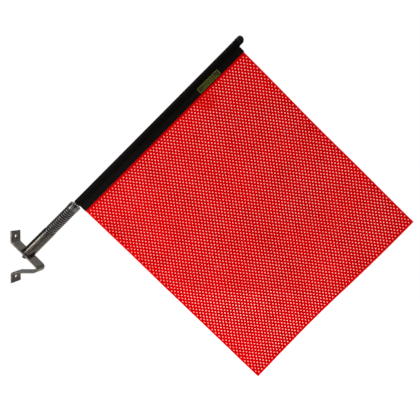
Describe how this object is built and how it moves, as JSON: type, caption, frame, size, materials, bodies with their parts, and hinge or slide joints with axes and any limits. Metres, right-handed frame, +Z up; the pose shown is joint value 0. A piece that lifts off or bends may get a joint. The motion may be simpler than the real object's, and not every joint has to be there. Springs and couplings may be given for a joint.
{
  "type": "spring-mounted mesh warning flag",
  "caption": "Red open-mesh warning flag in a black sleeve on a short pole, held by a coil spring on a bent steel wall bracket with screw tabs.",
  "frame": {"origin": "on the wall plane, halfway between the centres of the bracket's two screw holes", "axes": "+Z up the wall, +X out of the wall, +Y along the wall; the pole leans up and out in the plane Y = 0 and the flag hangs in that plane"},
  "size_m": [0.8135, 0.0264, 0.7006],
  "materials": {
    "bracket_steel": "oiled mill steel",
    "holder_steel": "satin",
    "weld_steel": "rough",
    "spring_steel": "zinc plated, satin",
    "neck_steel": "satin",
    "pole_black": "semi-matte",
    "cap_black": "matte",
    "sleeve_fabric": "coated woven fabric",
    "red_mesh": "vinyl-coated open mesh, slight gloss",
    "thread": "spun thread",
    "label": "printed"
  },
  "bodies": {
    "bracket": {"bracket_strip": "bracket_steel", "holder_tube": "holder_steel", "foot_weld": "weld_steel", "anchor_stud": "holder_steel"},
    "spring": {"coil_spring": "spring_steel"},
    "pole": {"top_collar": "spring_steel", "neck_rod": "neck_steel", "pole_tube": "pole_black", "pole_pin": "neck_steel", "pole_tip_cap": "cap_black"},
    "flag": {"sleeve": "sleeve_fabric", "mesh_panel": "red_mesh", "seam_thread_front": "thread", "seam_thread_back": "thread", "sleeve_label": "label"}
  },
  "joints": [
    {"name": "spring_lean", "type": "hinge", "parent": "bracket", "child": "spring", "pos_m": [0.08319, 0, 0.06166], "axis": [0, 1, 0], "range_deg": [-45, 45], "stiffness_Nm_per_rad": 6.2, "springref_deg": -3.01, "deforming": ["coil_spring"]},
    {"name": "spring_tilt", "type": "hinge", "parent": "spring", "child": "pole", "pos_m": [0.106, 0, 0.08446], "axis": [0.7071, 0, -0.7071], "range_deg": [-45, 45], "stiffness_Nm_per_rad": 6.2, "deforming": ["coil_spring"]},
    {"name": "flag_turn", "type": "hinge", "parent": "pole", "child": "flag", "pos_m": [0.12871, 0, 0.10718], "axis": [0.7071, 0, 0.7071], "range_deg": [-100, 100]}
  ]
}
